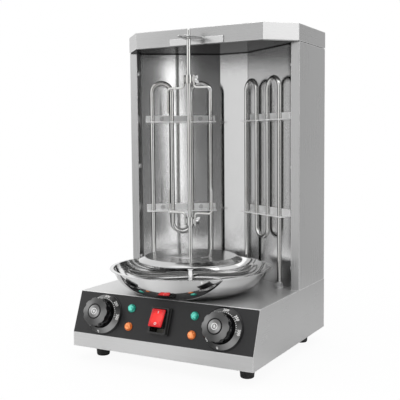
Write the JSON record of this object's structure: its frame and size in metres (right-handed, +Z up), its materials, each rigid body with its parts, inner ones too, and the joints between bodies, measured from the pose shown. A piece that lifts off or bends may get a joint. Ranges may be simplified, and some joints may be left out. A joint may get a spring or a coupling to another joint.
{
  "type": "vertical rotisserie",
  "caption": "Countertop vertical rotisserie with an upright turning skewer over a drip bowl, angled heating elements and a sloping control panel.",
  "frame": {"origin": "middle of the whole object's footprint, on the surface that the feet stand on", "axes": "+X right seen from the front, +Y towards the back, +Z up; the skewer turns about a line parallel to Z"},
  "size_m": [0.291, 0.311, 0.4844],
  "materials": {
    "brushed_stainless": "fine straight brushing",
    "reflector_stainless": "polished, slightly wavy",
    "polished_stainless": "mirror polished",
    "ceiling_steel": "dull underside",
    "heater_sheath": "satin tube",
    "screw_steel": "plated",
    "galvanised": "zinc plated",
    "panel_black": "matt dark facing",
    "knob_black": "satin moulded",
    "switch_black": "gloss moulded",
    "foot_rubber": "matt",
    "red_lens": "translucent, lit",
    "green_lens": "translucent, faceted",
    "orange_lens": "translucent, faceted",
    "motor_grey": "plated can",
    "inner_plastic": "moulded insulator",
    "wire_cover": "flexible insulation",
    "bush_brass": "turned"
  },
  "bodies": {
    "housing": {"back_reflector": "reflector_stainless", "base_cover": "brushed_stainless", "base_floor": "galvanised", "base_rear_panel": "galvanised", "base_side_left": "brushed_stainless", "base_side_right": "brushed_stainless", "cable_gland": "knob_black", "control_panel": "panel_black", "dial_left": "knob_black", "dial_right": "knob_black", "foot_screws": "screw_steel", "gear_motor": "motor_grey", "green_lenses": "green_lens", "heater_foot_nuts": "screw_steel", "heater_left": "heater_sheath", "heater_right": "heater_sheath", "hood_ceiling": "ceiling_steel", "hood_shell": "brushed_stainless", "lamp_bodies": "inner_plastic", "lock_nuts": "galvanised", "lower_strap_left": "brushed_stainless", "lower_strap_right": "brushed_stainless", "motor_bracket": "galvanised", "motor_screws": "screw_steel", "orange_lenses": "orange_lens", "rear_screws": "screw_steel", "reflector_left": "reflector_stainless", "reflector_right": "reflector_stainless", "reflector_screws": "screw_steel", "rubber_feet": "foot_rubber", "shaft_bush": "bush_brass", "switch_body": "inner_plastic", "switch_frame": "switch_black", "terminal_block": "inner_plastic", "thermostat_left": "inner_plastic", "thermostat_right": "inner_plastic", "top_bracket": "brushed_stainless", "tower_bolts": "galvanised", "tower_rear_panel": "galvanised", "tower_side_left": "brushed_stainless", "tower_side_right": "brushed_stainless", "upper_strap_left": "brushed_stainless", "upper_strap_right": "brushed_stainless", "wires": "wire_cover"},
    "spindle": {"drive_shaft": "polished_stainless"},
    "plate": {"meat_plate": "polished_stainless"},
    "skewer_rod": {"skewer": "polished_stainless"},
    "upper_clip": {"upper_clip_collar": "polished_stainless", "upper_clip_prongs": "polished_stainless"},
    "upper_screw": {"upper_thumbscrew": "polished_stainless"},
    "lower_clip": {"lower_clip_collar": "polished_stainless", "lower_clip_prongs": "polished_stainless"},
    "lower_screw": {"lower_thumbscrew": "polished_stainless"},
    "bowl": {"drip_bowl": "polished_stainless", "bowl_neck": "polished_stainless"},
    "left_knob": {"knob_left": "knob_black", "thermostat_shaft_left": "screw_steel"},
    "right_knob": {"knob_right": "knob_black", "thermostat_shaft_right": "screw_steel"},
    "rocker": {"switch_rocker": "red_lens"}
  },
  "joints": [
    {"name": "spindle_turn", "type": "hinge", "parent": "housing", "child": "spindle", "pos_m": [0, -0.0365, 0.128], "axis": [0, 0, 1], "continuous": true},
    {"name": "plate_lift", "type": "slide", "parent": "spindle", "child": "plate", "axis": [0, 0, 1], "range_m": [0, 0.012]},
    {"name": "skewer_lift", "type": "slide", "parent": "plate", "child": "skewer_rod", "axis": [0, 0, 1], "range_m": [0, 0.012]},
    {"name": "upper_clip_slide", "type": "slide", "parent": "skewer_rod", "child": "upper_clip", "axis": [0, 0, 1], "range_m": [-0.09, 0.02]},
    {"name": "upper_screw_turn", "type": "hinge", "parent": "upper_clip", "child": "upper_screw", "pos_m": [0, -0.0365, 0.4077], "axis": [0.5736, 0.8192, 0], "range_deg": [0, 720]},
    {"name": "lower_clip_slide", "type": "slide", "parent": "skewer_rod", "child": "lower_clip", "axis": [0, 0, 1], "range_m": [-0.04, 0.09]},
    {"name": "lower_screw_turn", "type": "hinge", "parent": "lower_clip", "child": "lower_screw", "pos_m": [0, -0.0365, 0.2007], "axis": [0.5736, 0.8192, 0], "range_deg": [0, 720]},
    {"name": "bowl_lift", "type": "slide", "parent": "housing", "child": "bowl", "axis": [0, 0, 1], "range_m": [0, 0.014]},
    {"name": "left_knob_turn", "type": "hinge", "parent": "housing", "child": "left_knob", "pos_m": [-0.0963, -0.12347, 0.07022], "axis": [0, -0.9328, 0.3603], "range_deg": [-270, 0]},
    {"name": "right_knob_turn", "type": "hinge", "parent": "housing", "child": "right_knob", "pos_m": [0.0963, -0.12347, 0.07022], "axis": [0, -0.9328, 0.3603], "range_deg": [-270, 0]},
    {"name": "rocker_tilt", "type": "hinge", "parent": "housing", "child": "rocker", "pos_m": [0, -0.12123, 0.06936], "axis": [1, 0, 0], "range_deg": [0, 24]}
  ]
}
